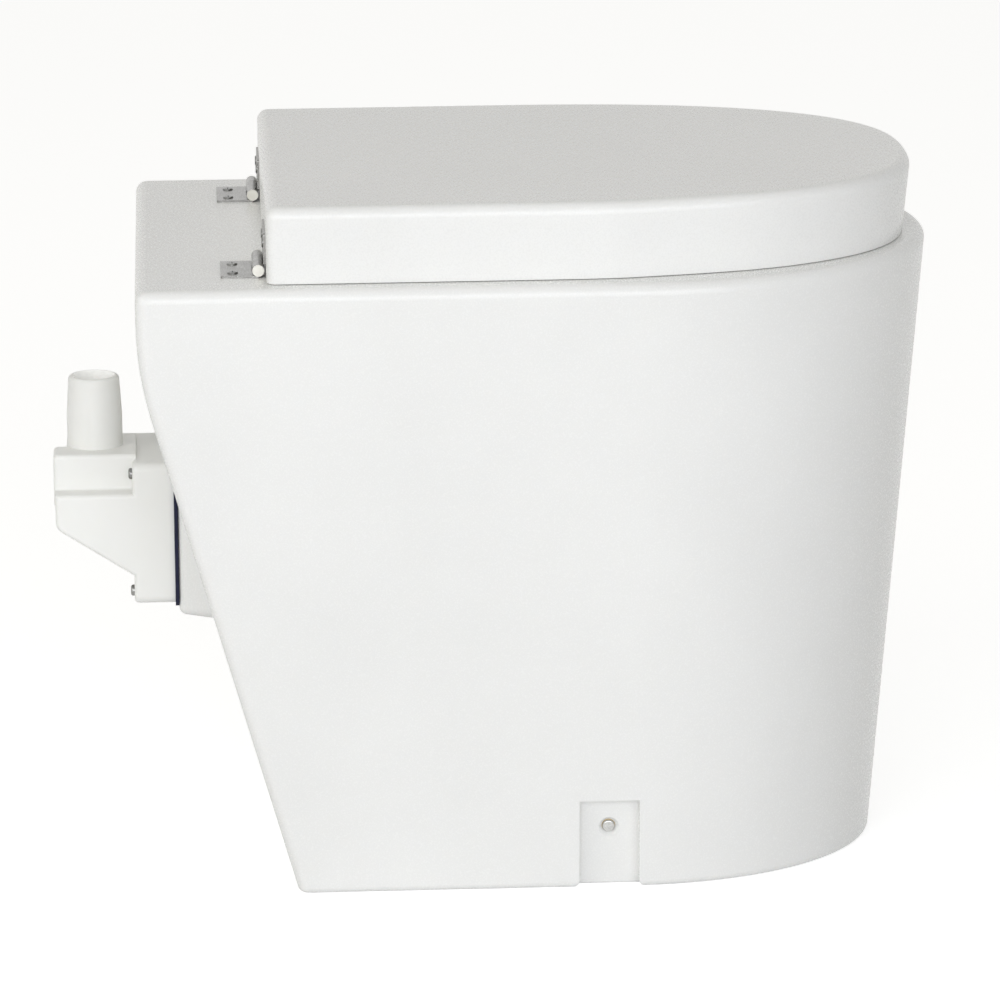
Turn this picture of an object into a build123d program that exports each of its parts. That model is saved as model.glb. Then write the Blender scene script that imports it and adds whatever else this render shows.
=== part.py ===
from build123d import *
import math
import os

# A free-standing urine-diverting composting toilet, in millimetres.
# The toilet faces -Y, +X is its left side as the sitter faces, +Z is up.
# The origin is on the floor, under the middle of the whole outline.

# Body moulding
body_width = 392.0
body_length = 542.5
deck_height = 429.8
body_wall = 6.0
body_front_length = 209.0
base_width = 295.0
base_front_inset = 37.0
base_front_length = 173.0
rear_bend_height = 373.0
rear_slope_run = 103.0
rear_bend_radius = 250.0
deck_edge_radius = 7.5
base_edge_radius = 5.0
rear_corner_radius = 8.0
corner_radius = 4.0

# Opening in the deck, and the insert that hangs in it
opening_side_gap = 48.0
opening_rear_gap = 120.0
opening_front_gap = 46.0
opening_front_length = 150.0
insert_lap = 14.0
insert_flange = 4.0
seal_thickness = 2.0
seal_width = 9.0

# Lid
lid_side_inset = 12.0
lid_draft = 5.5
lid_rear_gap = 87.0
lid_front_inset = 11.2
lid_front_length = 283.0
lid_curve_power = 2.48
lid_height = 52.3
lid_gap = 0.4
lid_wall = 6.0
lid_edge_radius = 7.5
lid_rim_radius = 0.6

# Butt hinges
hinge_length = 50.0
hinge_side_gap = 55.0
hinge_leaf_reach = 25.0
hinge_leaf = 1.5
hinge_barrel_radius = 3.9
hinge_pin_radius = 2.2
hinge_offset = 5.0
hinge_knuckle_gap = 0.3
hinge_screw_reach = 17.0
hinge_screw_pitch = 29.0
hinge_screw_length = 12.0
hinge_screw_radius = 1.9
hinge_head_radius = 3.6
hinge_head_raise = 1.0
hinge_corner_radius = 1.5
hinge_pin_head = 1.0
slot_share = 0.28
sink_share = 0.9
crown_share = 0.6

# Seat and bowl
seat_thickness = 24.0
seat_hole_width = 212.0
seat_hole_length = 272.0
seat_hole_front_gap = 99.0
seat_edge_radius = 7.0
seat_corner_radius = 40.0
bumper_reach_share = 0.72
buffer_radius = 8.0
buffer_height = 3.0
bumper_radius = 7.0
bumper_height = 5.0
post_radius = 9.0
bowl_depth = 96.0
bowl_wall = 4.0
bowl_lap = 5.0
bowl_floor_width = 176.0
bowl_floor_length = 236.0
divider_height = 52.0
divider_lean = 14.0
divider_share = 0.52
basin_fall = 9.0
drain_radius = 9.5
spout_wall = 3.0
spout_length = 82.0
spout_flange_radius = 19.0
spout_flange = 3.0
nut_radius = 20.0
nut_height = 9.0
washer_thickness = 2.0

# Pail and bottle
pail_width = 232.0
pail_length = 196.0
pail_height = 300.0
pail_wall = 3.0
pail_draft = 9.0
pail_rim = 8.0
pail_rear_gap = 122.0
pail_corner_radius = 32.0
pail_grip_width = 84.0
pail_grip_height = 20.0
bottle_width = 216.0
bottle_length = 140.0
bottle_height = 236.0
bottle_wall = 3.0
bottle_edge_radius = 14.0
bottle_nose_share = 0.8
bottle_neck_radius = 21.0
bottle_neck_height = 24.0
bottle_gap = 10.0

# Fan and vent housing
housing_size = 99.0
housing_height = 229.6
housing_wall = 2.5
housing_edge_radius = 3.0
flange_corner_radius = 6.0
fan_size = 92.0
fan_depth = 25.0
fan_bore_radius = 43.5
fan_hole_pitch = 82.5
fan_hole_radius = 2.15
fan_clearance = 0.3
hub_radius = 18.0
hub_recess = 1.5
hub_wall = 1.5
hub_gap = 0.5
fan_flange = 4.0
fan_seat = 1.0
blade_chord = 24.0
blade_count = 7
blade_thickness = 1.4
blade_pitch_angle = 34.0
blade_tip_gap = 1.2
strut_width = 5.0
motor_plate = 3.0
shaft_radius = 1.5
sleeve_radius = 4.0
gasket_thickness = 2.5
gasket_overhang = 2.0
boss_overhang = 2.5
boss_draft_angle = 9.0
boss_pad = 16.0
boss_foot_drop = 4.5
boss_foot_round = 5.0
vent_radius = 43.0
screen_thickness = 0.5
screen_hole_radius = 1.6
screen_hole_pitch = 6.4
vent_reach = 59.2
cap_width = 66.0
cap_rise = 52.9
ledge_rise = 28.4
funnel_rear_rise = 4.5
funnel_foot_drop = 29.5
funnel_step = 1.0
cap_lap = 12.0
cap_notch_width = 37.0
cap_notch_depth = 9.0
ledge_blend_radius = 1.5
funnel_corner_radius = 9.0
spigot_radius = 19.05
spigot_height = 49.0
spigot_straight = 22.0
spigot_tip_radius = 17.4
spigot_bore_radius = 14.6
spigot_tip_round = 2.5
spigot_axis_gap = 28.5
housing_screw_radius = 1.95
housing_screw_length = 39.0
housing_head_radius = 3.9
housing_head_height = 2.6
insert_radius = 3.1
insert_length = 9.0

# Power socket
socket_radius = 4.0
socket_length = 13.0
socket_collar_radius = 6.0
socket_collar = 2.0
socket_bore_radius = 2.75
socket_bore_depth = 9.0
socket_pin_radius = 1.05
socket_nut_radius = 6.0
socket_nut_height = 2.5
socket_gap = 34.0
socket_rise = 10.0
lead_radius = 1.2
lead_share = 0.6
bend_share = 0.45

# Bracket recess on each side of the base
recess_width = 41.0
recess_height = 63.5
recess_depth = 10.0
recess_gap = 314.0
recess_screw_height = 41.7
recess_corner_radius = 2.5
recess_flare = 5.0
recess_foot_radius = 2.0
dimple_radius = 7.0
dimple_depth = 2.5
side_screw_radius = 2.9
side_screw_length = 12.0
side_head_radius = 4.4
side_head_height = 2.2
side_insert_radius = 4.6
side_insert_length = 14.0
side_pad_radius = 11.0

# Fits and cuts
fit = 0.05
slip = 0.5
overrun = 5.0

# Places worked out from the sizes above
rear_y = (body_length + vent_reach) / 2 - vent_reach
front_y = rear_y - body_length
slope = rear_slope_run / rear_bend_height
slope_angle = math.degrees(math.atan(slope))
lid_width = body_width - lid_side_inset * 2
lid_rear_y = rear_y - lid_rear_gap
lid_front_y = front_y + lid_front_inset
lid_low = deck_height + lid_gap
lid_top = lid_low + lid_height
hinge_spacing = lid_width - hinge_side_gap * 2
hinge_y = lid_rear_y + hinge_offset
hinge_z = deck_height + hinge_offset
opening_width = body_width - opening_side_gap * 2
opening_rear_y = rear_y - opening_rear_gap
opening_front_y = front_y + opening_front_gap
flange_low = deck_height + seal_thickness
flange_top = flange_low + insert_flange
seat_width = opening_width + insert_lap * 2
seat_low = flange_top + buffer_height
seat_top = seat_low + seat_thickness
seat_hole_y = front_y + seat_hole_front_gap + seat_hole_length / 2
bowl_low = flange_low - bowl_depth
divider_y = seat_hole_y + bowl_floor_length / 2 - bowl_floor_length * divider_share
drain_y = (divider_y + seat_hole_y - bowl_floor_length / 2) / 2
spout_low = bowl_low - spout_length
pail_rear_y = rear_y - pail_rear_gap
pail_y = pail_rear_y - pail_length / 2
bottle_rear_y = pail_rear_y - pail_length - bottle_gap
bottle_top = body_wall + bottle_height
cap_top = housing_height + cap_rise
ledge_height = housing_height + ledge_rise
funnel_rear_height = housing_height + funnel_rear_rise
funnel_foot_height = housing_height - funnel_foot_drop
socket_height = housing_height + socket_rise
boss_top = housing_height + housing_size / 2 + boss_overhang
seat_plane_y = rear_y - (rear_bend_height - boss_top) * slope
flange_front_y = seat_plane_y + gasket_thickness
fan_front_y = flange_front_y + screen_thickness
flange_rear_y = fan_front_y + fan_depth + housing_wall
hub_front_y = fan_front_y + hub_recess
housing_rear_y = rear_y + vent_reach
spigot_y = housing_rear_y - spigot_axis_gap
recess_y = rear_y - recess_gap
side_lean = math.degrees(math.atan((body_width - base_width) / 2 / deck_height))


def write(shape, node):
    shape.label = node
    export_step(shape, "parts/" + node + ".step")


def plan(width, back_y, nose_y, nose_length, height, power=2):
    """Flat outline: square rear corners, straight sides and a rounded front."""
    half = width / 2
    start_y = nose_y + nose_length
    return Wire([
        Line((-half, start_y, height), (-half, back_y, height)),
        Line((-half, back_y, height), (half, back_y, height)),
        Line((half, back_y, height), (half, start_y, height)),
        nose_line(half, start_y, nose_length, height, power),
    ])


def nose_line(half, start_y, nose_length, height, power):
    """Front curve: half an ellipse at power 2, squarer at the shoulders above it."""
    if power == 2:
        arc = EllipticalCenterArc((0, start_y), half, nose_length, start_angle=180, arc_size=180)
        return Pos(0, 0, height) * arc
    steps = 6
    right = []
    for step in range(steps + 1):
        turn = math.pi / 2 * step / steps
        side = half * math.cos(turn) ** (2 / power)
        ahead = nose_length * math.sin(turn) ** (2 / power)
        right.append((side, start_y - ahead, height))
    left = [(-x, y, z) for x, y, z in reversed(right[:-1])]
    return Spline(*(right + left), tangents=[(0, -1, 0), (0, 1, 0)])


def tapered(low, high):
    return Solid.make_loft([low, high], ruled=True)


def behind_rear_wall(inset):
    """Everything behind the rear wall, moved in by inset."""
    lean = math.radians(slope_angle)
    y_top = rear_y - inset
    shift = inset / math.cos(lean)
    bend_z = rear_bend_height + inset * math.tan(lean / 2)
    low_z = -overrun * 2
    y_low = rear_y - shift - (rear_bend_height - low_z) * slope
    high_z = deck_height + overrun * 2
    wall_line = FilletPolyline(
        (y_top, high_z), (y_top, bend_z), (y_low, low_z), radius=rear_bend_radius - inset
    )
    far_y = rear_y + body_wall * 4
    back = Polyline((y_low, low_z), (far_y, low_z), (far_y, high_z), (y_top, high_z))
    profile = Plane.YZ * make_face([wall_line, back])
    return extrude(profile, body_width, both=True)


def body_outline(width_cut, front_cut, low_z, high_z):
    """The body's tapered form between two heights, narrowed by the given cuts."""
    def at(height):
        share = height / deck_height
        width = base_width + (body_width - base_width) * share
        nose_y = front_y + base_front_inset * (1 - share) + front_cut
        nose = base_front_length + (body_front_length - base_front_length) * share
        return plan(width - width_cut * 2, rear_y, nose_y, nose - front_cut, height)
    return tapered(at(low_z), at(high_z))


def opening_outline(lap, low_z, high_z):
    """The deck opening's D shape, wider all round by lap."""
    def at(height):
        return plan(
            opening_width + lap * 2, opening_rear_y + lap, opening_front_y - lap,
            opening_front_length + lap, height,
        )
    return tapered(at(low_z), at(high_z))


def side_block(side, width, low_z, high_z, depth, outer):
    """A block that follows the leaning side wall, from outer outside it to depth inside."""
    lean = math.radians(side_lean)
    half_low = base_width / 2
    points = []
    for height, reach in ((low_z, outer), (high_z, outer), (high_z, -depth), (low_z, -depth)):
        points.append((side * (half_low + height * math.tan(lean) + reach), height))
    face = Plane.XZ * make_face(Polyline(*points, close=True))
    block = extrude(face, width / 2, both=True)
    return Pos(0, recess_y, 0) * block


def side_axis(side):
    """Plane on the recess floor at its screw, facing out."""
    lean = math.radians(side_lean)
    x = side * (base_width / 2 + recess_screw_height * math.tan(lean) - recess_depth)
    normal = (side * math.cos(lean), 0, -math.sin(lean))
    return Plane(origin=(x, recess_y, recess_screw_height), x_dir=(0, 1, 0), z_dir=normal)


def housing_corners():
    return [
        (x * fan_hole_pitch / 2, housing_height + z * fan_hole_pitch / 2)
        for x in (-1, 1) for z in (-1, 1)
    ]


def rod_y(x, z, radius, y_from, y_to):
    """A round rod along Y between two places."""
    plane = Plane(origin=(x, y_from, z), x_dir=(1, 0, 0), z_dir=(0, 1, 0))
    return plane * extrude(Circle(radius), y_to - y_from)


def housing_square(size, y_from, y_to, radius=0.0):
    """A square block around the fan axis, between two places along Y."""
    plane = Plane(origin=(0, y_from, housing_height), x_dir=(1, 0, 0), z_dir=(0, 1, 0))
    shape = RectangleRounded(size, size, radius) if radius else Rectangle(size, size)
    return plane * extrude(shape, y_to - y_from)


def hinge_screw_places(side):
    middle = side * hinge_spacing / 2
    return [middle + across * hinge_screw_pitch / 2 for across in (-1, 1)]


def body_boss():
    """Boss that squares the sloping rear wall up for the gasket, flared towards the wall."""
    size = housing_size + boss_overhang * 2
    middle_z = housing_height - boss_foot_drop / 2
    plane = Plane(origin=(0, seat_plane_y, middle_z), x_dir=(1, 0, 0), z_dir=(0, -1, 0))
    depth = (boss_top - housing_height + size) * slope
    face = plane * RectangleRounded(size, size + boss_foot_drop, corner_radius)
    boss = extrude(face, depth, taper=-boss_draft_angle)
    foot = boss.edges().group_by(Axis.Y)[-1].sort_by(Axis.Z)[0]
    return fillet(foot, boss_foot_round)


def rear_uprights(solid):
    """The edges that run up the two rear corners, over the slope, the bend and the upright part."""
    return [
        edge for edge in solid.edges()
        if edge.center().Y > rear_y - rear_slope_run
        and abs((edge @ 0).Z - (edge @ 1).Z) > deck_edge_radius
    ]


def make_body():
    outer = body_outline(0, 0, 0, deck_height) - behind_rear_wall(0)
    outer = fillet(rear_uprights(outer), rear_corner_radius)
    outer = fillet(outer.faces().sort_by(Axis.Z)[-1].edges(), deck_edge_radius)
    outer = fillet(outer.faces().sort_by(Axis.Z)[0].edges(), base_edge_radius)
    cavity = body_outline(body_wall, body_wall, body_wall, deck_height - body_wall)
    cavity = cavity - behind_rear_wall(body_wall)
    pad = housing_square(housing_size, seat_plane_y - boss_pad, seat_plane_y, corner_radius)
    hinge_pad_depth = hinge_screw_length + body_wall / 2
    for side in (-1, 1):
        block = Box(
            hinge_length, hinge_screw_reach * 2 - body_wall, hinge_pad_depth,
            align=(Align.CENTER, Align.CENTER, Align.MAX),
        )
        pad = pad + Pos(side * hinge_spacing / 2, hinge_y + hinge_screw_reach, deck_height) * block
        pad = pad + side_block(
            side, recess_width + body_wall * 2, 0, recess_height + body_wall,
            recess_depth + body_wall, 0,
        )
        pad = pad + side_axis(side) * Pos(0, 0, -side_insert_length - body_wall / 2) * Cylinder(
            side_pad_radius, side_insert_length + body_wall,
            align=(Align.CENTER, Align.CENTER, Align.MIN),
        )
    cavity = cavity - pad
    body = outer + body_boss() - cavity
    body = body - opening_outline(0, deck_height - body_wall * 2, deck_height + overrun)
    body = body - rod_y(
        0, housing_height, vent_radius, seat_plane_y - boss_pad * 3, seat_plane_y + overrun
    )
    for x, z in housing_corners():
        body = body - rod_y(
            x, z, insert_radius + fit, seat_plane_y - insert_length - overrun / 2, seat_plane_y + overrun
        )
    for side in (-1, 1):
        recess = side_block(side, recess_width, -overrun, recess_height, recess_depth, overrun)
        recess = fillet(recess.edges().filter_by(Axis.Z, tolerance=side_lean * 2), recess_corner_radius)
        flare = side_block(
            side, recess_width + recess_flare * 2, -overrun, recess_flare, recess_depth, overrun
        )
        for way in (-1, 1):
            flare = flare - rod_x(
                recess_flare, -body_width, body_width,
                recess_y + way * (recess_width / 2 + recess_flare), recess_flare,
            )
        body = body - recess - flare
        body = fillet([
            edge for edge in body.edges().group_by(Axis.Z)[0].filter_by(Axis.Y)
            if side * edge.center().X > 0 and abs(edge.center().Y - recess_y) < recess_width / 2
        ], recess_foot_radius)
        plane = side_axis(side)
        body = body - plane * Pos(0, 0, -dimple_depth) * Cone(
            dimple_radius - dimple_depth, dimple_radius, dimple_depth,
            align=(Align.CENTER, Align.CENTER, Align.MIN),
        )
        body = body - plane * Pos(0, 0, overrun) * Cylinder(
            side_insert_radius + fit, side_insert_length + dimple_depth + overrun,
            align=(Align.CENTER, Align.CENTER, Align.MAX),
        )
        for x in hinge_screw_places(side):
            body = body - Pos(x, hinge_y + hinge_screw_reach, deck_height) * Cylinder(
                hinge_screw_radius + fit, hinge_screw_length * 2,
            )
    write(body, "body_shell")
    return body


def make_lid():
    def at(height, cut=0.0):
        share = (height - lid_low) / lid_height
        lean = lid_draft * (1 - share)
        return plan(
            lid_width - (lean + cut) * 2, lid_rear_y - cut, lid_front_y + lean + cut,
            lid_front_length - lean - cut, height, lid_curve_power,
        )
    lid = tapered(at(lid_low), at(lid_top))
    uprights = [edge for edge in lid.edges() if abs((edge @ 0).Z - (edge @ 1).Z) > lid_edge_radius
                and (edge @ 0).Y > lid_rear_y - lid_edge_radius]
    lid = fillet(uprights, lid_edge_radius)
    lid = fillet(lid.faces().sort_by(Axis.Z)[-1].edges(), lid_edge_radius)
    lid = fillet(lid.faces().sort_by(Axis.Z)[0].edges(), lid_rim_radius)
    cavity = tapered(at(lid_low - overrun, lid_wall), at(lid_top - lid_wall, lid_wall))
    for side in (-1, 1):
        pad = Box(
            hinge_length, hinge_screw_length, lid_height,
            align=(Align.CENTER, Align.MAX, Align.MIN),
        )
        cavity = cavity - Pos(side * hinge_spacing / 2, lid_rear_y, lid_low) * pad
    post = Cylinder(
        post_radius, lid_top - seat_top - bumper_height,
        align=(Align.CENTER, Align.CENTER, Align.MIN),
    )
    for x, y in bumper_places():
        cavity = cavity - Pos(x, y, seat_top + bumper_height) * post
    lid = lid - cavity
    for side in (-1, 1):
        for x in hinge_screw_places(side):
            lid = lid - rod_y(
                x, hinge_z + hinge_screw_reach, hinge_screw_radius + fit,
                lid_rear_y - hinge_screw_length + hinge_leaf, lid_rear_y + overrun,
            )
    write(lid, "lid")


def bumper_places():
    """Two bumpers over the rear of the seat ring and two over its front."""
    half = (seat_width + seat_hole_width) / 4 - bumper_radius
    reach = seat_hole_length / 2 * bumper_reach_share
    return [(side * half, seat_hole_y + way * reach) for side in (-1, 1) for way in (-1, 1)]


def make_bumpers():
    bumper = Cylinder(bumper_radius, bumper_height, align=(Align.CENTER, Align.CENTER, Align.MIN))
    bumper = fillet(bumper.edges().group_by(Axis.Z)[0], bumper_height / 3)
    places = [Pos(x, y, seat_top) * bumper for x, y in bumper_places()]
    write(Compound(children=places), "lid_bumpers")


def make_seat():
    nose = opening_front_length + insert_lap
    back_y = opening_rear_y + insert_lap
    nose_y = opening_front_y - insert_lap

    def at(height):
        return plan(seat_width, back_y, nose_y, nose, height)
    seat = tapered(at(seat_low), at(seat_top))
    uprights = [edge for edge in seat.edges() if abs((edge @ 0).Z - (edge @ 1).Z) > seat_edge_radius
                and (edge @ 0).Y > back_y - seat_edge_radius]
    seat = fillet(uprights, seat_corner_radius)
    hole = Pos(0, seat_hole_y, seat_low - overrun) * extrude(
        Ellipse(seat_hole_width / 2, seat_hole_length / 2), seat_thickness + overrun * 2
    )
    seat = seat - hole
    seat = fillet(seat.faces().sort_by(Axis.Z)[-1].edges(), seat_edge_radius)
    write(seat, "seat_ring")
    buffer = Cylinder(buffer_radius, buffer_height, align=(Align.CENTER, Align.CENTER, Align.MIN))
    buffers = [Pos(x, y, flange_top) * buffer for x, y in bumper_places()]
    write(Compound(children=buffers), "seat_buffers")


def bowl_form(cut, low_z, high_z):
    """Tapered oval of the bowl, narrowed all round by cut."""
    def oval(height):
        share = (height - bowl_low) / (flange_top - bowl_low)
        wide = seat_hole_width + bowl_lap * 2 - bowl_floor_width
        long = seat_hole_length + bowl_lap * 2 - bowl_floor_length
        across = (bowl_floor_width + wide * share) / 2 - cut
        along = (bowl_floor_length + long * share) / 2 - cut
        return Pos(0, seat_hole_y, height) * Ellipse(across, along)
    return loft([oval(low_z), oval(high_z)], ruled=True)


def make_bowl():
    flange = opening_outline(insert_lap, flange_low, flange_top)
    skirt = opening_outline(-slip, deck_height - body_wall, flange_low)
    skirt = skirt - opening_outline(-slip - bowl_wall, deck_height - body_wall - overrun, flange_low)
    bowl = flange + skirt + bowl_form(0, bowl_low, flange_top)
    hollow = bowl_form(bowl_wall, bowl_low + bowl_wall + basin_fall, flange_top + overrun)
    wall_half = bowl_wall / 2
    lean = divider_lean
    floor_z = bowl_low
    divider = Plane.YZ * make_face(Polyline(
        (divider_y - wall_half, floor_z),
        (divider_y + wall_half, floor_z),
        (divider_y + wall_half - lean, floor_z + divider_height),
        (divider_y - wall_half - lean, floor_z + divider_height),
        close=True,
    ))
    divider = extrude(divider, bowl_floor_width, both=True)
    bowl = bowl - (hollow - divider)
    chute = bowl_form(bowl_wall, bowl_low - overrun, bowl_low + bowl_depth / 2)
    keep = Plane.YZ * make_face(Polyline(
        (divider_y + wall_half, floor_z - overrun),
        (rear_y, floor_z - overrun),
        (rear_y, floor_z + bowl_depth),
        (divider_y + wall_half - lean, floor_z + bowl_depth),
        close=True,
    ))
    chute = chute & extrude(keep, bowl_floor_width, both=True)
    bowl = bowl - (chute - divider)
    basin = Pos(0, drain_y, bowl_low + bowl_wall) * Cone(
        spout_flange_radius, bowl_floor_length / 4, basin_fall,
        align=(Align.CENTER, Align.CENTER, Align.MIN),
    )
    bowl = bowl - basin
    bowl = bowl - Pos(0, drain_y, bowl_low) * Cylinder(drain_radius + spout_wall + fit, bowl_depth)
    write(bowl, "diverter_bowl")


def ring(outer_radius, inner_radius, low_z, high_z):
    tube = Cylinder(outer_radius, high_z - low_z, align=(Align.CENTER, Align.CENTER, Align.MIN))
    bore = Cylinder(inner_radius, high_z - low_z, align=(Align.CENTER, Align.CENTER, Align.MIN))
    return Pos(0, drain_y, low_z) * (tube - bore)


def make_drain():
    spout_outer = drain_radius + spout_wall
    flange_z = bowl_low + bowl_wall
    spout = ring(spout_outer, drain_radius, spout_low, flange_z)
    spout = spout + ring(spout_flange_radius - slip, drain_radius, flange_z, flange_z + spout_flange)
    write(spout, "drain_spout")
    washer_low = bowl_low - washer_thickness
    write(ring(spout_flange_radius, spout_outer + fit, washer_low, bowl_low), "spout_washer")
    nut = Pos(0, drain_y, washer_low - nut_height) * extrude(
        RegularPolygon(nut_radius, 6), nut_height
    )
    bore = Pos(0, drain_y, washer_low - nut_height) * Cylinder(
        spout_outer + fit, nut_height * 2, align=(Align.CENTER, Align.CENTER, Align.CENTER)
    )
    write(nut - bore, "spout_nut")


def make_seal():
    outer = opening_outline(insert_lap - slip, deck_height, flange_low)
    inner = opening_outline(insert_lap - slip - seal_width, deck_height - overrun, flange_low + overrun)
    write(outer - inner, "bowl_seal")


def pail_form(cut, low_z, high_z, spread=0.0):
    def rounded(height):
        share = (height - body_wall) / pail_height
        wide = pail_width - pail_draft * 2 * (1 - share) - cut * 2 + spread
        long = pail_length - pail_draft * 2 * (1 - share) - cut * 2 + spread
        return Pos(0, pail_y, height) * RectangleRounded(wide, long, pail_corner_radius - cut)
    return loft([rounded(low_z), rounded(high_z)], ruled=True)


def make_pail():
    top = body_wall + pail_height
    pail = pail_form(0, body_wall, top)
    pail = fillet(pail.faces().sort_by(Axis.Z)[0].edges(), pail_rim)
    pail = pail + pail_form(0, top - pail_rim, top, spread=pail_rim)
    hollow = pail_form(pail_wall, body_wall + pail_wall, top + overrun)
    pail = pail - fillet(hollow.faces().sort_by(Axis.Z)[0].edges(), pail_rim - pail_wall)
    grip = Box(pail_grip_width, pail_length * 2, pail_grip_height)
    grip = Pos(0, pail_y, top - pail_grip_height * 2) * grip
    grip = fillet(grip.edges().filter_by(Axis.Y), pail_grip_height / 3)
    write(pail - grip, "solids_pail")


def make_bottle():
    def at(height, cut):
        return plan(
            bottle_width - cut * 2, bottle_rear_y - cut, bottle_rear_y - bottle_length + cut,
            bottle_length * bottle_nose_share - cut, height,
        )
    neck_low = bottle_top - bottle_wall
    bottle = tapered(at(body_wall, 0), at(bottle_top, 0))
    bottle = fillet(bottle.edges(), bottle_edge_radius)
    hollow = tapered(at(body_wall + bottle_wall, bottle_wall), at(neck_low, bottle_wall))
    hollow = fillet(hollow.edges(), bottle_edge_radius - bottle_wall)
    bottle = bottle + ring(bottle_neck_radius, bottle_neck_radius - bottle_wall, neck_low,
                           bottle_top + bottle_neck_height)
    bottle = bottle - hollow
    bottle = bottle - Pos(0, drain_y, neck_low) * Cylinder(
        bottle_neck_radius - bottle_wall, bottle_neck_height * 3
    )
    write(bottle, "urine_bottle")


def rod_x(radius, x_from, x_to, y, z):
    """A round rod along X between two places."""
    plane = Plane(origin=(x_from, y, z), x_dir=(0, 1, 0), z_dir=(1, 0, 0))
    return plane * extrude(Circle(radius), x_to - x_from)


def cross_slot(radius, depth):
    """Cross recess cut down from the XY plane into a screw head."""
    bar = Box(radius * 2, radius * slot_share, depth, align=(Align.CENTER, Align.CENTER, Align.MAX))
    return bar + Rot(0, 0, 90) * bar


def countersunk_screw():
    """Raised countersunk screw: head face at the XY plane, shank down."""
    cone_depth = hinge_leaf * sink_share
    down = (Align.CENTER, Align.CENTER, Align.MAX)
    up = (Align.CENTER, Align.CENTER, Align.MIN)
    shank = Cylinder(hinge_screw_radius, hinge_screw_length, align=down)
    cone = Cone(hinge_screw_radius, hinge_head_radius, cone_depth, align=down)
    crown = Cylinder(hinge_head_radius, hinge_head_raise, align=up)
    crown = chamfer(crown.edges().group_by(Axis.Z)[-1], hinge_head_raise * crown_share)
    slot = Pos(0, 0, hinge_head_raise) * cross_slot(hinge_head_radius * crown_share, cone_depth)
    return shank + cone + crown - slot


def leaf_hole():
    """Countersunk hole for one hinge screw, from the leaf's outer face at the XY plane."""
    cone_depth = hinge_leaf * sink_share
    down = (Align.CENTER, Align.CENTER, Align.MAX)
    sink = Cone(hinge_screw_radius + fit, hinge_head_radius + fit, cone_depth, align=down)
    return sink + Cylinder(hinge_screw_radius + fit, hinge_screw_length * 2, align=down)


def hinge_leaf_shape(middle_knuckle):
    """One leaf lying flat behind the knuckles, seen with the axis along X at the origin."""
    third = hinge_length / 3
    plate = Box(
        hinge_length, hinge_leaf_reach, hinge_leaf, align=(Align.CENTER, Align.MIN, Align.MIN)
    )
    plate = Pos(0, 0, -hinge_offset) * plate
    corners = plate.edges().filter_by(Axis.Z).group_by(Axis.Y)[-1]
    plate = fillet(corners, hinge_corner_radius)
    if middle_knuckle:
        spans = [(-third / 2, third / 2)]
        cleared = [(-third * 3 / 2, -third / 2), (third / 2, third * 3 / 2)]
    else:
        spans = [(-third * 3 / 2, -third / 2), (third / 2, third * 3 / 2)]
        cleared = [(-third / 2, third / 2)]
    notch = hinge_barrel_radius + hinge_knuckle_gap
    for x_from, x_to in cleared:
        gap = Box(
            x_to - x_from + hinge_knuckle_gap, notch * 2, hinge_leaf * 3,
            align=(Align.CENTER, Align.CENTER, Align.CENTER),
        )
        plate = plate - Pos((x_from + x_to) / 2, 0, -hinge_offset) * gap
    for x_from, x_to in spans:
        ease = hinge_knuckle_gap / 2
        knuckle = rod_x(hinge_barrel_radius, x_from + ease, x_to - ease, 0, 0)
        plate = plate + knuckle
    return plate - rod_x(hinge_pin_radius + fit, -hinge_length, hinge_length, 0, 0)


def make_hinges():
    deck_screws = []
    lid_screws = []
    for side, name in ((-1, "right"), (1, "left")):
        middle = side * hinge_spacing / 2
        axis_place = Pos(middle, hinge_y, hinge_z)
        deck_leaf = axis_place * hinge_leaf_shape(False)
        lid_leaf = axis_place * Rot(0, 0, 180) * Rot(90, 0, 0) * hinge_leaf_shape(True)
        for x in hinge_screw_places(side):
            on_deck = Pos(x, hinge_y + hinge_screw_reach, deck_height + hinge_leaf)
            on_lid = Pos(x, lid_rear_y + hinge_leaf, hinge_z + hinge_screw_reach) * Rot(-90, 0, 0)
            deck_leaf = deck_leaf - on_deck * leaf_hole()
            lid_leaf = lid_leaf - on_lid * leaf_hole()
            deck_screws.append(on_deck * countersunk_screw())
            lid_screws.append(on_lid * countersunk_screw())
        write(deck_leaf, "hinge_deck_leaf_" + name)
        write(lid_leaf, "hinge_lid_leaf_" + name)
        half = hinge_length / 2
        pin = rod_x(hinge_pin_radius, middle - half, middle + half, hinge_y, hinge_z)
        for way in (-1, 1):
            end = middle + way * half
            head = rod_x(hinge_barrel_radius, end, end + way * hinge_pin_head, hinge_y, hinge_z)
            pin = pin + head
        write(pin, "hinge_pin_" + name)
    write(Compound(children=deck_screws), "hinge_deck_screws")
    write(Compound(children=lid_screws), "hinge_lid_screws")


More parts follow.
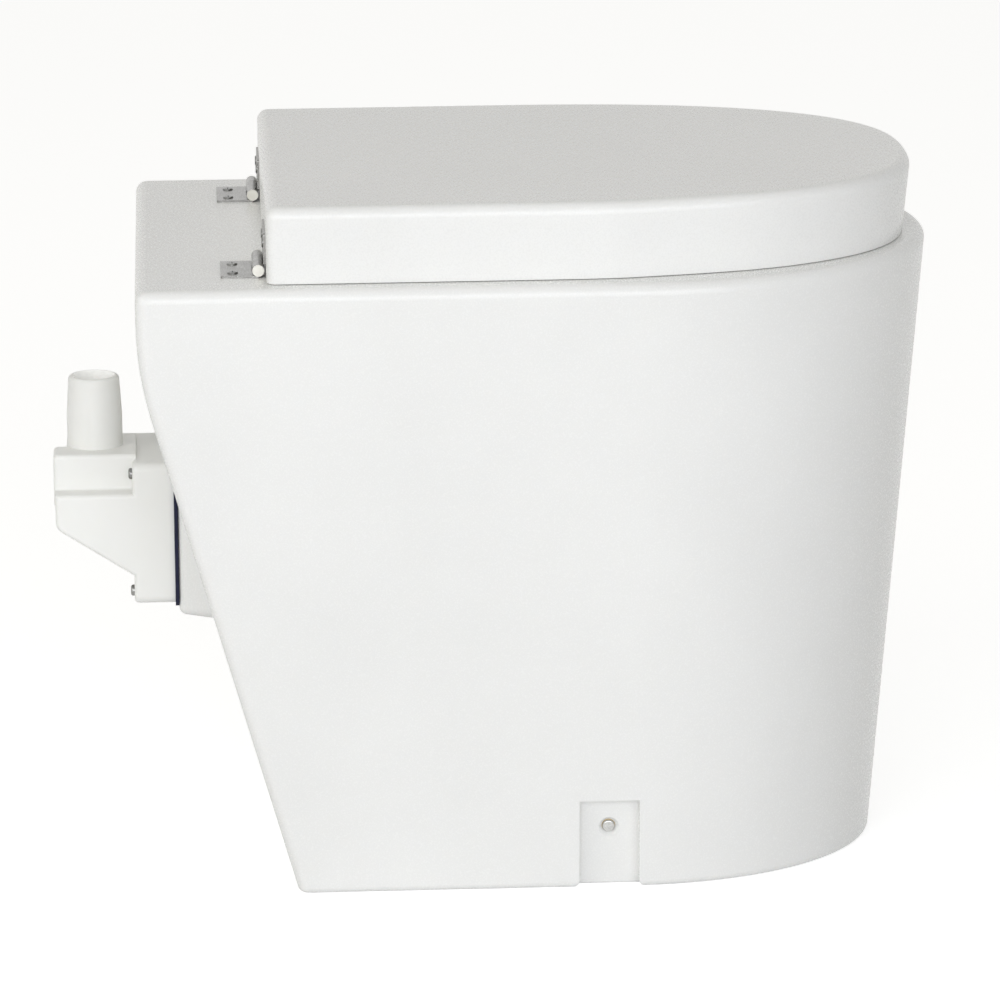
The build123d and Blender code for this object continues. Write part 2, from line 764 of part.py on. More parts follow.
def housing_form(cut):
    """Funnel and cap behind the flange, every wall moved in by cut."""
    near_y = flange_rear_y - housing_wall
    back_y = housing_rear_y - funnel_step - cut
    foot_z = funnel_foot_height + cut
    corner_z = funnel_rear_height + cut
    roof_z = ledge_height - cut
    profile = Plane.YZ * make_face(Polyline(
        (near_y, foot_z), (flange_rear_y, foot_z), (back_y, corner_z),
        (back_y, roof_z), (near_y, roof_z), close=True,
    ))
    funnel = extrude(profile, housing_size / 2 - cut, both=True)
    funnel = fillet(
        [edge for edge in funnel.edges().filter_by(Axis.X) if abs(edge.center().Z - corner_z) < fit],
        funnel_corner_radius - cut,
    )
    cap_length = housing_rear_y - cut - near_y
    cap = Box(
        cap_width - cut * 2, cap_length, cap_top - ledge_height + cap_lap - cut * 2,
        align=(Align.CENTER, Align.MIN, Align.MAX),
    )
    cap = Pos(0, near_y, cap_top - cut) * cap
    notch = Pos(cap_width / 2 - cap_notch_width - cut, housing_rear_y - cap_notch_depth - cut, 0) * Box(
        cap_width, cap_length, cap_top * 2, align=(Align.MIN, Align.MIN, Align.CENTER)
    )
    return funnel, cap - notch


def make_spigot():
    """Tapered hose spigot standing on the cap, its hollow cut later."""
    tip_z = cap_top + spigot_height
    straight = Pos(0, spigot_y, cap_top - housing_wall) * Cylinder(
        spigot_radius, spigot_straight + housing_wall, align=(Align.CENTER, Align.CENTER, Align.MIN)
    )
    taper = Pos(0, spigot_y, cap_top + spigot_straight) * Cone(
        spigot_radius, spigot_tip_radius, spigot_height - spigot_straight,
        align=(Align.CENTER, Align.CENTER, Align.MIN),
    )
    taper = fillet(taper.edges().group_by(Axis.Z)[-1], spigot_tip_round)
    return straight + taper


def make_cover():
    flange = housing_square(housing_size, flange_front_y, flange_rear_y, flange_corner_radius)
    flange = fillet(flange.faces().sort_by(Axis.Y)[-1].edges(), housing_edge_radius)
    funnel, cap = housing_form(0)
    funnel = fillet([
        edge for edge in funnel.edges()
        if edge.center().Y > flange_rear_y and abs(edge.center().X) > housing_size / 2 - fit
    ], housing_edge_radius)
    # The notch's inner edge stays sharp: a round there would cut into the spigot's foot.
    notch_y = housing_rear_y - cap_notch_depth
    cap = fillet([
        edge for edge in cap.edges()
        if edge.center().Z > cap_top - fit and edge.center().Y > flange_rear_y - housing_wall + fit
        and abs(edge.center().Y - notch_y) > fit
    ] + [
        edge for edge in cap.edges().filter_by(Axis.Z)
        if edge.center().Y > housing_rear_y - fit or (
            edge.center().Y > flange_rear_y and edge.center().X > cap_width / 2 - fit)
    ], housing_edge_radius)
    cap = chamfer([
        edge for edge in cap.edges().group_by(Axis.Z)[0] if edge.center().Y > housing_rear_y - fit
    ], funnel_step)
    cover = funnel + cap
    cover = fillet([
        edge for edge in cover.edges().filter_by(Axis.Y)
        if abs(edge.center().Z - ledge_height) < fit and abs(abs(edge.center().X) - cap_width / 2) < fit
    ], ledge_blend_radius)
    cover = cover + flange + make_spigot()
    funnel_hollow, cap_hollow = housing_form(housing_wall)
    hollow = funnel_hollow + cap_hollow
    plate_y = flange_rear_y - housing_wall
    pocket = housing_square(fan_size + fan_clearance * 2, flange_front_y - overrun, plate_y, corner_radius)
    bore = rod_y(0, housing_height, fan_bore_radius, plate_y - overrun, flange_rear_y + fit)
    behind = Pos(0, flange_rear_y, 0) * Box(
        housing_size * 2, vent_reach * 2, cap_top * 2, align=(Align.CENTER, Align.MIN, Align.CENTER)
    )
    cover = cover - pocket - (hollow & behind) - (hollow & bore)
    cover = cover - Pos(0, spigot_y, cap_top - housing_wall * 2) * Cylinder(
        spigot_bore_radius, spigot_height * 2, align=(Align.CENTER, Align.CENTER, Align.MIN)
    )
    for x, z in housing_corners():
        cover = cover - rod_y(x, z, fan_hole_radius, plate_y - overrun, flange_rear_y + overrun)
    socket_y = housing_rear_y - socket_gap
    cover = cover - rod_x(
        socket_radius + fit, housing_size / 4, housing_size / 2 + overrun, socket_y, socket_height
    )
    write(cover, "fan_cover")


def make_gasket():
    gasket = housing_square(
        housing_size + gasket_overhang * 2, seat_plane_y, flange_front_y, flange_corner_radius
    )
    gasket = gasket - rod_y(0, housing_height, vent_radius, seat_plane_y - overrun, rear_y)
    for x, z in housing_corners():
        gasket = gasket - rod_y(x, z, fan_hole_radius, seat_plane_y - overrun, rear_y)
    write(gasket, "housing_gasket")


def make_screen():
    """Insect screen: a thin square plate, holed over the fan's bore."""
    screen = housing_square(fan_size, flange_front_y, fan_front_y, corner_radius)
    count = int(fan_bore_radius / screen_hole_pitch)
    for column in range(-count, count + 1):
        for row in range(-count, count + 1):
            x = column * screen_hole_pitch
            z = row * screen_hole_pitch
            if math.hypot(x, z) + screen_hole_radius * 2 < fan_bore_radius:
                screen = screen - rod_y(
                    x, housing_height + z, screen_hole_radius, flange_front_y - overrun, rear_y
                )
    for x, z in housing_corners():
        screen = screen - rod_y(x, z, fan_hole_radius, flange_front_y - overrun, rear_y)
    write(screen, "insect_screen")


def make_fan():
    rear = fan_front_y + fan_depth
    frame = rod_y(0, housing_height, fan_size / 2, fan_front_y, rear)
    for y_from in (fan_front_y, rear - fan_flange):
        frame = frame + housing_square(fan_size, y_from, y_from + fan_flange, corner_radius)
    frame = frame - rod_y(0, housing_height, fan_bore_radius, fan_front_y - overrun, rear + overrun)
    for x, z in housing_corners():
        frame = frame - rod_y(x, z, fan_hole_radius, fan_front_y - overrun, rear + overrun)
    bars = Box(
        fan_bore_radius * 2 + fit * 2, motor_plate, strut_width,
        align=(Align.CENTER, Align.MAX, Align.CENTER),
    )
    for turn in (45, 135):
        frame = frame + Pos(0, rear, housing_height) * Rot(0, turn, 0) * bars
    frame = frame + rod_y(0, housing_height, hub_radius, rear - motor_plate, rear)
    seat = rod_y(0, housing_height, sleeve_radius + fit, rear - motor_plate - overrun, rear - fan_seat)
    write(frame - seat, "fan_frame")
    sleeve_front = hub_front_y + hub_wall + hub_gap
    sleeve = rod_y(0, housing_height, sleeve_radius, sleeve_front, rear - fan_seat)
    sleeve = sleeve - rod_y(0, housing_height, shaft_radius + fit, sleeve_front - overrun, rear + overrun)
    write(sleeve, "fan_sleeve")
    stator = rod_y(0, housing_height, hub_radius - hub_wall - hub_gap, sleeve_front, rear - motor_plate)
    stator = stator - rod_y(0, housing_height, sleeve_radius + fit, sleeve_front - overrun, rear)
    write(stator, "fan_stator")


def make_rotor():
    rear = fan_front_y + fan_depth
    hub_rear = rear - motor_plate - hub_gap
    rotor = rod_y(0, housing_height, hub_radius, hub_front_y, hub_rear)
    rotor = fillet(rotor.edges().group_by(Axis.Y)[0], hub_wall)
    rotor = rotor - rod_y(
        0, housing_height, hub_radius - hub_wall, hub_front_y + hub_wall, hub_rear + overrun
    )
    rotor = rotor + rod_y(0, housing_height, shaft_radius, hub_front_y, rear - motor_plate)
    tip = fan_bore_radius - blade_tip_gap
    blade = Box(
        tip - hub_radius + hub_wall * 2, blade_thickness, blade_chord,
        align=(Align.MIN, Align.CENTER, Align.CENTER),
    )
    middle_y = (hub_front_y + hub_rear) / 2
    blade = Pos(hub_radius - hub_wall / 2, 0, 0) * Rot(blade_pitch_angle, 0, 0) * blade
    limit = rod_y(0, housing_height, tip, hub_front_y, hub_rear)
    limit = limit - rod_y(0, housing_height, hub_radius - hub_wall / 2, hub_front_y, hub_rear)
    for index in range(blade_count):
        turn = Rot(0, 360 / blade_count * index, 0)
        rotor = rotor + (Pos(0, middle_y, housing_height) * turn * blade & limit)
    write(rotor, "fan_rotor")


def pan_screw(radius, length, head_radius, head_height):
    """Pan head screw: head above the XY plane, shank below."""
    up = (Align.CENTER, Align.CENTER, Align.MIN)
    head = Cylinder(head_radius, head_height, align=up)
    head = fillet(head.edges().group_by(Axis.Z)[-1], head_height * crown_share)
    slot = Pos(0, 0, head_height) * cross_slot(head_radius * crown_share, head_height / 2)
    shank = Cylinder(radius, length, align=(Align.CENTER, Align.CENTER, Align.MAX))
    return head + shank - slot


def make_housing_screws():
    screws = []
    inserts = []
    for x, z in housing_corners():
        place = Plane(origin=(x, flange_rear_y, z), x_dir=(1, 0, 0), z_dir=(0, 1, 0))
        screws.append(place * pan_screw(
            housing_screw_radius, housing_screw_length, housing_head_radius, housing_head_height
        ))
        insert = rod_y(x, z, insert_radius, seat_plane_y - insert_length, seat_plane_y)
        bore = rod_y(x, z, housing_screw_radius + fit, seat_plane_y - insert_length * 2, rear_y)
        inserts.append(insert - bore)
    write(Compound(children=screws), "housing_screws")
    write(Compound(children=inserts), "housing_inserts")


def make_socket():
    y = housing_rear_y - socket_gap
    outside = housing_size / 2
    inner_end = outside + socket_collar - socket_length
    socket = rod_x(socket_radius, inner_end, outside, y, socket_height)
    socket = socket + rod_x(socket_collar_radius, outside, outside + socket_collar, y, socket_height)
    bore_end = outside + socket_collar - socket_bore_depth
    socket = socket - rod_x(socket_bore_radius, bore_end, outside + overrun, y, socket_height)
    socket = socket + rod_x(socket_pin_radius, bore_end - fit, outside, y, socket_height)
    write(socket, "power_socket")
    nut_outer = outside - housing_wall
    plane = Plane(origin=(nut_outer, y, socket_height), x_dir=(0, 1, 0), z_dir=(-1, 0, 0))
    nut = plane * extrude(RegularPolygon(socket_nut_radius, 6), socket_nut_height)
    nut = nut - rod_x(socket_radius + fit, nut_outer - overrun * 2, outside, y, socket_height)
    write(nut, "socket_nut")
    fan_rear = fan_front_y + fan_depth
    turn_x = hub_radius * lead_share
    bend = (y - fan_rear) * bend_share
    path = FilletPolyline(
        (inner_end, y, socket_height), (turn_x, y, socket_height), (turn_x, fan_rear, socket_height),
        radius=min(bend, (inner_end - turn_x) * bend_share),
    )
    lead = sweep(Plane(origin=path @ 0, z_dir=path % 0) * Circle(lead_radius), path=path)
    write(lead, "fan_lead")


def make_side_fixings():
    screws = []
    inserts = []
    for side in (-1, 1):
        plane = side_axis(side)
        seat = Pos(0, 0, -dimple_depth)
        screws.append(plane * seat * pan_screw(
            side_screw_radius, side_screw_length, side_head_radius, side_head_height
        ))
        down = (Align.CENTER, Align.CENTER, Align.MAX)
        insert = Cylinder(side_insert_radius, side_insert_length, align=down)
        insert = insert - Cylinder(side_screw_radius + fit, side_insert_length * 3)
        inserts.append(plane * seat * insert)
    write(Compound(children=screws), "side_screws")
    write(Compound(children=inserts), "side_inserts")


if __name__ == "__main__":
    os.makedirs("parts", exist_ok=True)
    make_body()
    make_lid()
    make_bumpers()
    make_hinges()
    make_seat()
    make_bowl()
    make_drain()
    make_seal()
    make_pail()
    make_bottle()
    make_cover()
    make_gasket()
    make_screen()
    make_fan()
    make_rotor()
    make_housing_screws()
    make_socket()
    make_side_fixings()
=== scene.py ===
import math

import bpy
from mathutils import Matrix, Vector

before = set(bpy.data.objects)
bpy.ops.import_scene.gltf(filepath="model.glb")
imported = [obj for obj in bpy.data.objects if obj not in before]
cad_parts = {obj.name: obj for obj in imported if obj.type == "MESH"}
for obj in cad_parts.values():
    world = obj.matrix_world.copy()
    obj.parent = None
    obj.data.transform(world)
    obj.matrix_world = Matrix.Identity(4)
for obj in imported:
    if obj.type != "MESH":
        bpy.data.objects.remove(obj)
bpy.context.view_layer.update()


# Body: one rotomoulded polyethylene shell with its deck.
# The skin copies the sand-blasted mould, so it has a fine grain and a slow, soft unevenness.
def shade(*levels):
    """A display colour from 0 to 255 as the linear colour that a shader takes."""
    parts = [level / 255 for level in levels]
    parts = [p / 12.92 if p <= 0.04045 else ((p + 0.055) / 1.055) ** 2.4 for p in parts]
    return (*parts, 1)


def new_finish(name):
    """A material with one surface shader, fed by the object's own coordinates."""
    finish = bpy.data.materials.new(name)
    finish.use_nodes = True
    tree = finish.node_tree
    tree.nodes.clear()
    out = tree.nodes.new("ShaderNodeOutputMaterial")
    skin = tree.nodes.new("ShaderNodeBsdfPrincipled")
    tree.links.new(skin.outputs["BSDF"], out.inputs["Surface"])
    return finish, tree, skin


def place(tree, stretch=(1, 1, 1)):
    """Object coordinates, stretched so that a grain can run along one axis."""
    coords = tree.nodes.new("ShaderNodeTexCoord")
    scale = tree.nodes.new("ShaderNodeMapping")
    scale.inputs["Scale"].default_value = stretch
    tree.links.new(coords.outputs["Object"], scale.inputs["Vector"])
    return scale.outputs["Vector"]


def grain(tree, where, size, detail=3, rough=0.5):
    """Soft noise whose lumps are about size metres across."""
    noise = tree.nodes.new("ShaderNodeTexNoise")
    noise.inputs["Scale"].default_value = 1 / size
    noise.inputs["Detail"].default_value = detail
    noise.inputs["Roughness"].default_value = rough
    tree.links.new(where, noise.inputs["Vector"])
    return noise.outputs["Fac"]


def spread(tree, value, low, high, socket, from_low=0.3, from_high=0.7):
    """Runs a value from its own span to the span between two levels, into a socket."""
    span = tree.nodes.new("ShaderNodeMapRange")
    span.inputs["From Min"].default_value = from_low
    span.inputs["From Max"].default_value = from_high
    span.inputs["To Min"].default_value = low
    span.inputs["To Max"].default_value = high
    tree.links.new(value, span.inputs["Value"])
    tree.links.new(span.outputs["Result"], socket)


def mottle(tree, value, dark, light, socket, from_low=0.3, from_high=0.7):
    """Mixes two colours by a value into a colour socket."""
    ramp = tree.nodes.new("ShaderNodeValToRGB")
    ramp.color_ramp.elements[0].position = from_low
    ramp.color_ramp.elements[0].color = dark
    ramp.color_ramp.elements[1].position = from_high
    ramp.color_ramp.elements[1].color = light
    tree.links.new(value, ramp.inputs["Fac"])
    tree.links.new(ramp.outputs["Color"], socket)


def relief(tree, skin, *layers):
    """Stacks (height, depth in metres) layers into the shader's normal."""
    under = None
    for height, depth in layers:
        bump = tree.nodes.new("ShaderNodeBump")
        bump.inputs["Strength"].default_value = 1
        bump.inputs["Distance"].default_value = depth
        tree.links.new(height, bump.inputs["Height"])
        if under:
            tree.links.new(under, bump.inputs["Normal"])
        under = bump.outputs["Normal"]
    tree.links.new(under, skin.inputs["Normal"])


def moulded_white(name, dark, light, roughness, grain_size, grain_depth, wave_size, wave_depth):
    """White polymer: mottled by a shade or two, grained, and slightly wavy."""
    patch_share = 1.7
    finish, tree, skin = new_finish(name)
    where = place(tree)
    fine = grain(tree, where, grain_size, 4, 0.6)
    slow = grain(tree, where, wave_size, 2)
    patch = grain(tree, where, wave_size * patch_share, 3)
    mottle(tree, patch, dark, light, skin.inputs["Base Color"])
    spread(tree, fine, roughness - 0.04, roughness + 0.06, skin.inputs["Roughness"])
    relief(tree, skin, (slow, wave_depth), (fine, grain_depth))
    skin.inputs["IOR"].default_value = 1.5
    skin.inputs["Specular IOR Level"].default_value = 0.42
    skin.inputs["Subsurface Weight"].default_value = 0.06
    skin.inputs["Subsurface Radius"].default_value = (1.0, 0.9, 0.75)
    skin.inputs["Subsurface Scale"].default_value = 0.003
    return finish


def finish_nodes(finish, *names):
    """Puts one finish on CAD nodes in place of the plain one that they came with."""
    for name in names:
        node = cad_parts[name]
        for holder in node.material_slots:
            holder.link = "OBJECT"
            holder.material = finish


body_white = moulded_white(
    "body_white", shade(236, 236, 234), shade(239, 239, 237), roughness=0.25,
    grain_size=0.0011, grain_depth=0.000008, wave_size=0.055, wave_depth=0.00006,
)
finish_nodes(body_white, "body_shell")

# Bowl insert: thin glossy moulding with a basin in front and a chute behind, on a foam strip.
# The basin's spout is a grey moulded fitting, held by a nut over a rubber washer.
insert_white = moulded_white(
    "insert_white", shade(233, 233, 230), shade(236, 236, 234), roughness=0.2,
    grain_size=0.002, grain_depth=0.000006, wave_size=0.04, wave_depth=0.00005,
)
finish_nodes(insert_white, "diverter_bowl")


def soft_rubber(name, dark, light, roughness, grain_size, grain_depth):
    """Rubber or foam: matt, with the given grain."""
    patch_share = 9
    finish, tree, skin = new_finish(name)
    where = place(tree)
    fine = grain(tree, where, grain_size, 5, 0.65)
    patch = grain(tree, where, grain_size * patch_share, 3)
    mottle(tree, patch, dark, light, skin.inputs["Base Color"])
    spread(tree, fine, roughness - 0.06, roughness + 0.06, skin.inputs["Roughness"])
    relief(tree, skin, (fine, grain_depth))
    skin.inputs["Specular IOR Level"].default_value = 0.3
    return finish


def moulded_part(name, dark, light, roughness, grain_size, grain_depth):
    """Injection-moulded plastic with a spark-eroded grain."""
    patch_share = 20
    finish, tree, skin = new_finish(name)
    where = place(tree)
    fine = grain(tree, where, grain_size, 4, 0.6)
    patch = grain(tree, where, grain_size * patch_share, 3)
    mottle(tree, patch, dark, light, skin.inputs["Base Color"])
    spread(tree, fine, roughness - 0.05, roughness + 0.07, skin.inputs["Roughness"])
    relief(tree, skin, (fine, grain_depth))
    return finish


seal_foam = soft_rubber(
    "seal_foam_black", shade(38, 38, 40), shade(52, 52, 55), roughness=0.85,
    grain_size=0.0009, grain_depth=0.0001,
)
finish_nodes(seal_foam, "bowl_seal")
washer_rubber = soft_rubber(
    "washer_rubber", shade(30, 30, 31), shade(42, 42, 43), roughness=0.6,
    grain_size=0.0007, grain_depth=0.00002,
)
finish_nodes(washer_rubber, "spout_washer")
fitting_grey = moulded_part(
    "fitting_grey", shade(150, 152, 154), shade(160, 162, 164), roughness=0.4,
    grain_size=0.0008, grain_depth=0.00001,
)
finish_nodes(fitting_grey, "drain_spout", "spout_nut")

# Seat ring: moulded glossy polypropylene, standing on small pale rubber buffers.
# The lid's four rubber tips are of the same rubber.
seat_white = moulded_white(
    "seat_white", shade(235, 235, 232), shade(238, 238, 236), roughness=0.16,
    grain_size=0.003, grain_depth=0.000004, wave_size=0.06, wave_depth=0.00004,
)
finish_nodes(seat_white, "seat_ring")
buffer_rubber = soft_rubber(
    "buffer_rubber", shade(205, 205, 200), shade(216, 216, 212), roughness=0.55,
    grain_size=0.0008, grain_depth=0.00001,
)
finish_nodes(buffer_rubber, "seat_buffers", "lid_bumpers")

# Solids pail: black polypropylene with a grained wall, a rim and two finger slots.
# It stands loose on the body's floor, under the rear half of the bowl.
pail_black = moulded_part(
    "pail_black", shade(34, 35, 36), shade(42, 43, 44), roughness=0.45,
    grain_size=0.0012, grain_depth=0.00003,
)
finish_nodes(pail_black, "solids_pail")

# Urine bottle: blow-moulded natural polyethylene, cloudy, so that light spreads in its wall.
# It stands under the front half of the bowl, with its neck under the drain spout.
bottle_cloudy, tree, skin = new_finish("bottle_cloudy")
where = place(tree)
fine = grain(tree, where, 0.0016, 3)
patch = grain(tree, where, 0.04, 3)
mottle(tree, patch, shade(226, 229, 222), shade(234, 236, 230), skin.inputs["Base Color"])
spread(tree, fine, 0.3, 0.42, skin.inputs["Roughness"])
relief(tree, skin, (grain(tree, where, 0.03, 2), 0.0001), (fine, 0.00001))
skin.inputs["Subsurface Weight"].default_value = 0.4
skin.inputs["Subsurface Radius"].default_value = (1.0, 0.95, 0.85)
skin.inputs["Subsurface Scale"].default_value = 0.01
finish_nodes(bottle_cloudy, "urine_bottle")

# Lid: rotomoulded like the body and from the same white, a touch less glossy.
# It turns on the two hinges, and four posts under it carry its rubber tips.
lid_white = moulded_white(
    "lid_white", shade(236, 236, 234), shade(239, 239, 237), roughness=0.27,
    grain_size=0.0011, grain_depth=0.000008, wave_size=0.07, wave_depth=0.00006,
)
finish_nodes(lid_white, "lid")


# Hinges: stamped stainless leaves curled round a pin, with raised countersunk screws.
# The leaves are polished, with fine belt lines along them. The pins' ends are pale and dull,
# as in the photo. The housing's screws and the socket's nut have the hinge screws' finish.
def polished_steel(name, dark, light, roughness, run, line_depth, metal=1):
    """Metal with belt lines that run along one axis."""
    line_size = 0.0006
    smear_size = 0.012
    finish, tree, skin = new_finish(name)
    lines = grain(tree, place(tree, run), line_size, 3, 0.6)
    smear = grain(tree, place(tree), smear_size, 3)
    mottle(tree, smear, dark, light, skin.inputs["Base Color"])
    spread(tree, lines, roughness - 0.05, roughness + 0.1, skin.inputs["Roughness"])
    relief(tree, skin, (lines, line_depth))
    skin.inputs["Metallic"].default_value = metal
    return finish


# The leaves' steel is set darker than bare steel: painted shade that stands for the dark surroundings
# they reflect.
hinge_steel = polished_steel(
    "hinge_steel", shade(136, 135, 132), shade(152, 151, 148), roughness=0.26,
    run=(0.08, 1, 1), line_depth=0.000003,
)
finish_nodes(
    hinge_steel,
    "hinge_deck_leaf_left", "hinge_deck_leaf_right", "hinge_lid_leaf_left", "hinge_lid_leaf_right",
)
pin_steel = polished_steel(
    "pin_steel", shade(228, 226, 218), shade(238, 236, 229), roughness=0.5,
    run=(1, 1, 1), line_depth=0.000002, metal=0.3,
)
finish_nodes(pin_steel, "hinge_pin_left", "hinge_pin_right")
# The screws' steel is set darker than bare steel: painted shade that stands for the dark surroundings
# they reflect.
screw_steel = polished_steel(
    "screw_steel", shade(126, 126, 124), shade(150, 150, 147), roughness=0.22,
    run=(1, 1, 1), line_depth=0.000002,
)
finish_nodes(
    screw_steel,
    "hinge_deck_screws", "hinge_lid_screws", "housing_screws", "socket_nut",
)

# Recess screws: a pan-head screw with a cross slot in each side recess, for a floor bracket.
# Their steel is brighter than the hinge screws', as the near one is in the photo.
side_screw_steel = polished_steel(
    "side_screw_steel", shade(186, 186, 184), shade(206, 206, 203), roughness=0.2,
    run=(1, 1, 1), line_depth=0.000002,
)
finish_nodes(side_screw_steel, "side_screws")

# Fan housing: a warm white moulding, screwed to brass inserts in the body over a navy foam
# gasket. Its upright spigot takes the vent hose.
housing_white = moulded_white(
    "housing_white", shade(240, 240, 237), shade(243, 243, 240), roughness=0.42,
    grain_size=0.0007, grain_depth=0.000012, wave_size=0.03, wave_depth=0.00003,
)
finish_nodes(housing_white, "fan_cover")


def arithmetic(tree, operation, first, second):
    """One step of arithmetic on a socket, with a number or another socket."""
    step = tree.nodes.new("ShaderNodeMath")
    step.operation = operation
    tree.links.new(first, step.inputs[0])
    if isinstance(second, float):
        step.inputs[1].default_value = second
    else:
        tree.links.new(second, step.inputs[1])
    return step.outputs[0]


def spigot_inside(tree, corners):
    """1 on the spigot's bore and 0 elsewhere; its axis and bore are read from its tip's corners."""
    same_height = 0.0001
    spigot_reach = 0.055
    bore_margin = 1.01
    tip_height = max(corner.z for corner in corners)
    tip = [corner for corner in corners if tip_height - corner.z < same_height]
    axis = sum((corner.xy for corner in tip), Vector((0, 0))) / len(tip)
    bore_reach = bore_margin * min((corner.xy - axis).length for corner in tip)
    spot = tree.nodes.new("ShaderNodeSeparateXYZ")
    tree.links.new(place(tree), spot.inputs[0])
    flat = tree.nodes.new("ShaderNodeCombineXYZ")
    tree.links.new(spot.outputs["X"], flat.inputs["X"])
    tree.links.new(spot.outputs["Y"], flat.inputs["Y"])
    gap = tree.nodes.new("ShaderNodeVectorMath")
    gap.operation = "DISTANCE"
    gap.inputs[1].default_value = (*axis, 0)
    tree.links.new(flat.outputs["Vector"], gap.inputs[0])
    near = arithmetic(tree, "LESS_THAN", gap.outputs["Value"], bore_reach)
    high = arithmetic(tree, "GREATER_THAN", spot.outputs["Z"], tip_height - spigot_reach)
    return arithmetic(tree, "MULTIPLY", near, high)


# The spigot's bore reads pale in the photo, and the lamps alone leave it darker. So the bore gets
# a paler shade and a faint glow in the material, which stands for light that isn't modelled.
bore_glow = 0.14
tree = housing_white.node_tree
skin = tree.nodes["Principled BSDF"]
inside = spigot_inside(tree, [corner.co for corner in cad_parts["fan_cover"].data.vertices])
pale = tree.nodes.new("ShaderNodeMix")
pale.data_type = "RGBA"
pale.inputs["B"].default_value = shade(254, 254, 252)
tree.links.new(inside, pale.inputs["Factor"])
tree.links.new(skin.inputs["Base Color"].links[0].from_socket, pale.inputs["A"])
tree.links.new(pale.outputs["Result"], skin.inputs["Base Color"])
skin.inputs["Emission Color"].default_value = (1, 1, 0.98, 1)
tree.links.new(arithmetic(tree, "MULTIPLY", inside, bore_glow), skin.inputs["Emission Strength"])

gasket_navy = soft_rubber(
    "gasket_navy", shade(24, 26, 48), shade(34, 37, 62), roughness=0.8,
    grain_size=0.0006, grain_depth=0.00006,
)
finish_nodes(gasket_navy, "housing_gasket")
brass_turned = polished_steel(
    "brass_turned", shade(190, 158, 92), shade(212, 180, 112), roughness=0.28,
    run=(1, 0.1, 1), line_depth=0.000004,
)
finish_nodes(brass_turned, "housing_inserts", "side_inserts", "fan_sleeve")

# Insect screen: thin perforated stainless sheet in front of the fan.
# It keeps flies that come down the vent out of the body.
screen_steel = polished_steel(
    "screen_steel", shade(168, 168, 166), shade(190, 190, 188), roughness=0.32,
    run=(1, 1, 0.08), line_depth=0.000004,
)
finish_nodes(screen_steel, "insect_screen")

# Fan: black glass-filled frame and rotor round a motor wound with copper wire.
# A soft black lead joins the motor to the power socket in the housing's side.
fan_black = moulded_part(
    "fan_black", shade(24, 24, 25), shade(32, 32, 33), roughness=0.42,
    grain_size=0.0006, grain_depth=0.00001,
)
finish_nodes(fan_black, "fan_frame", "fan_rotor", "power_socket")
lead_black = soft_rubber(
    "lead_black", shade(26, 26, 27), shade(34, 34, 35), roughness=0.45,
    grain_size=0.0006, grain_depth=0.000006,
)
finish_nodes(lead_black, "fan_lead")
winding, tree, skin = new_finish("winding_copper")
turns = tree.nodes.new("ShaderNodeTexWave")
turns.wave_type = "BANDS"
turns.bands_direction = "Y"
turns.inputs["Scale"].default_value = 900
turns.inputs["Distortion"].default_value = 0.6
tree.links.new(place(tree), turns.inputs["Vector"])
mottle(tree, turns.outputs["Fac"], shade(112, 52, 24), shade(186, 104, 58), skin.inputs["Base Color"])
relief(tree, skin, (turns.outputs["Fac"], 0.0002))
skin.inputs["Metallic"].default_value = 0.7
skin.inputs["Roughness"].default_value = 0.35
finish_nodes(winding, "fan_stator")

# Floor: a plain flat pale sheet that keeps the toilet's soft shadow.
# A lift that only the camera, reflections and panes see brings it near white.
floor_reach = 9.0
floor_grey = 0.8
floor_lift = 0.6
floor_mesh = bpy.data.meshes.new("floor")
floor_mesh.from_pydata(
    [(-floor_reach, -floor_reach, 0), (floor_reach, -floor_reach, 0),
     (floor_reach, floor_reach, 0), (-floor_reach, floor_reach, 0)],
    [], [(0, 1, 2, 3)],
)
floor = bpy.data.objects.new("floor", floor_mesh)
bpy.context.scene.collection.objects.link(floor)


def seen_rays(tree):
    """1 for what the camera, a reflection or a pane shows, and 0 for light on its way."""
    path = tree.nodes.new("ShaderNodeLightPath")
    seen = path.outputs["Is Camera Ray"]
    for name in ("Is Glossy Ray", "Is Transmission Ray"):
        seen = arithmetic(tree, "MAXIMUM", seen, path.outputs[name])
    return seen


floor_white = bpy.data.materials.new("floor_white")
floor_white.use_nodes = True
tree = floor_white.node_tree
tree.nodes.clear()
out = tree.nodes.new("ShaderNodeOutputMaterial")
paper = tree.nodes.new("ShaderNodeBsdfDiffuse")
paper.inputs["Color"].default_value = (floor_grey, floor_grey, floor_grey, 1)
lift = tree.nodes.new("ShaderNodeEmission")
tree.links.new(arithmetic(tree, "MULTIPLY", seen_rays(tree), floor_lift), lift.inputs["Strength"])
both = tree.nodes.new("ShaderNodeAddShader")
tree.links.new(paper.outputs["BSDF"], both.inputs[0])
tree.links.new(lift.outputs["Emission"], both.inputs[1])
tree.links.new(both.outputs["Shader"], out.inputs["Surface"])
floor_mesh.materials.append(floor_white)

# Light: a white tent, slightly warm and dimmer in front of the toilet, with one large soft lamp
# on the camera's side and a smaller one behind that reaches the fan housing.
front_strength, rear_strength = 0.3, 0.47
front_end, rear_end = -0.8, 0.1
room = bpy.data.worlds.new("tent")
room.use_nodes = True
bpy.context.scene.world = room
tree = room.node_tree
tree.nodes.clear()
out = tree.nodes.new("ShaderNodeOutputWorld")
tent = tree.nodes.new("ShaderNodeBackground")
tent.inputs["Color"].default_value = (1, 0.99, 0.945, 1)
sky = tree.nodes.new("ShaderNodeTexCoord")
axes = tree.nodes.new("ShaderNodeSeparateXYZ")
tree.links.new(sky.outputs["Generated"], axes.inputs[0])
spread(
    tree, axes.outputs["Y"], front_strength, rear_strength, tent.inputs["Strength"],
    from_low=front_end, from_high=rear_end,
)
white = tree.nodes.new("ShaderNodeBackground")
white.inputs["Color"].default_value = (1, 1, 1, 1)
white.inputs["Strength"].default_value = 1
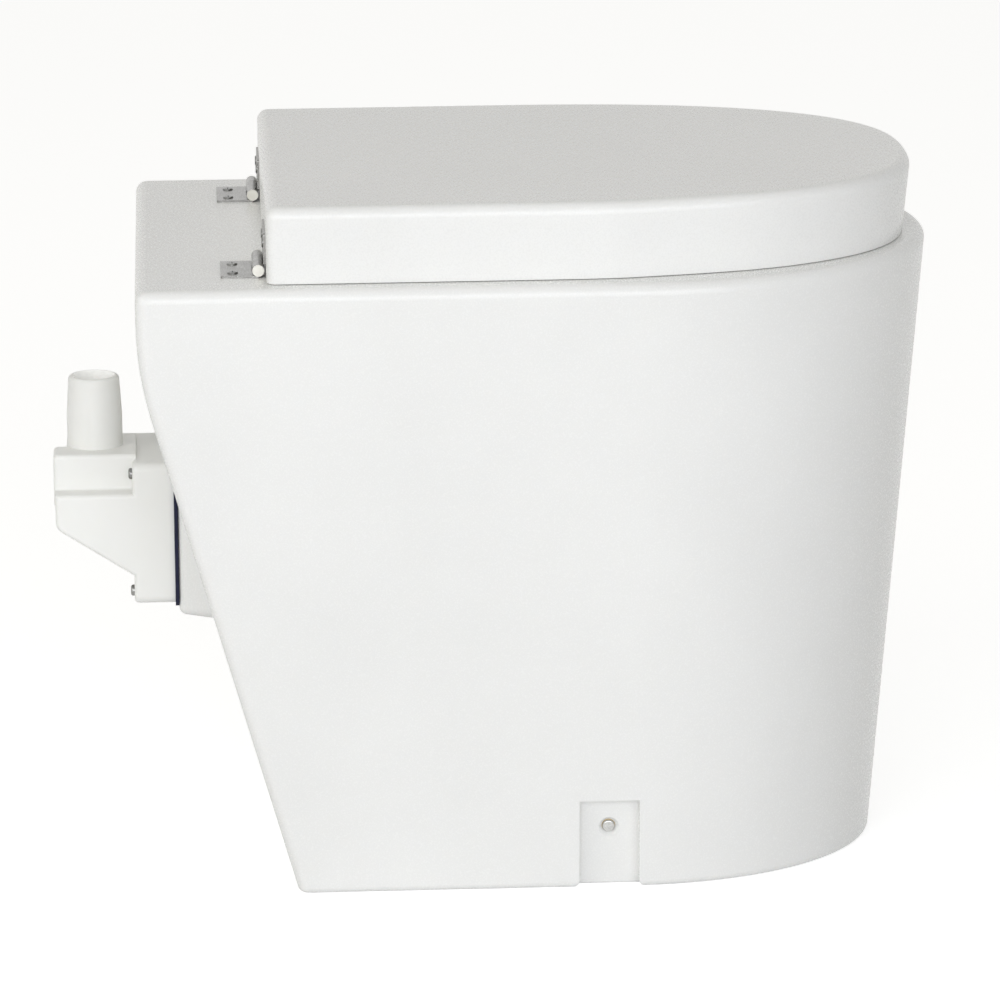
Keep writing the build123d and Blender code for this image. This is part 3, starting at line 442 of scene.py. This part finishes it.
swap = tree.nodes.new("ShaderNodeMixShader")
tree.links.new(seen_rays(tree), swap.inputs["Fac"])
tree.links.new(tent.outputs["Background"], swap.inputs[1])
tree.links.new(white.outputs["Background"], swap.inputs[2])
tree.links.new(swap.outputs["Shader"], out.inputs["Surface"])


def soft_lamp(name, spot, aim, width, height, watts, colour):
    """A rectangular soft box at spot that faces aim."""
    box = bpy.data.lights.new(name, "AREA")
    box.shape = "RECTANGLE"
    box.size = width
    box.size_y = height
    box.energy = watts
    box.color = colour
    lamp = bpy.data.objects.new(name, box)
    lamp.location = spot
    lamp.rotation_mode = "QUATERNION"
    lamp.rotation_quaternion = (Vector(aim) - Vector(spot)).to_track_quat("-Z", "Y")
    bpy.context.scene.collection.objects.link(lamp)


soft_lamp(
    "key_lamp", spot=(-3.6, -0.2, 1.1), aim=(0, 0, 0.25),
    width=4.4, height=1.8, watts=75, colour=(0.93, 0.95, 1),
)
soft_lamp(
    "rear_lamp", spot=(-2.0, 2.6, 1.6), aim=(0, 0.2, 0.25),
    width=1.6, height=1.6, watts=19, colour=(1, 0.99, 0.95),
)

# Camera: long lens at the sitter's right, a little above, as the photograph was taken.
# Its place, turn and lens come from a least-squares fit.
camera_spot = Vector((-4.33353, 0.21080, 1.31338))
camera_yaw = 0.050265
camera_pitch = 0.243207
camera_roll = -0.007771
focal_length = 231.817
lens = bpy.data.cameras.new("camera")
lens.sensor_width = 36
lens.lens = focal_length
lens.clip_start = 0.1
lens.clip_end = 50
camera = bpy.data.objects.new("camera", lens)
ahead = Vector((
    math.cos(camera_pitch) * math.cos(camera_yaw),
    -math.cos(camera_pitch) * math.sin(camera_yaw),
    -math.sin(camera_pitch),
))
right = Vector((-math.sin(camera_yaw), -math.cos(camera_yaw), 0))
up = right.cross(ahead)
side_axis = math.cos(camera_roll) * right + math.sin(camera_roll) * up
up_axis = math.cos(camera_roll) * up - math.sin(camera_roll) * right
turn = Matrix((side_axis, up_axis, -ahead)).transposed()
camera.matrix_world = Matrix.Translation(camera_spot) @ turn.to_4x4()
bpy.context.scene.collection.objects.link(camera)
bpy.context.scene.camera = camera
bpy.context.scene.view_settings.view_transform = "Standard"
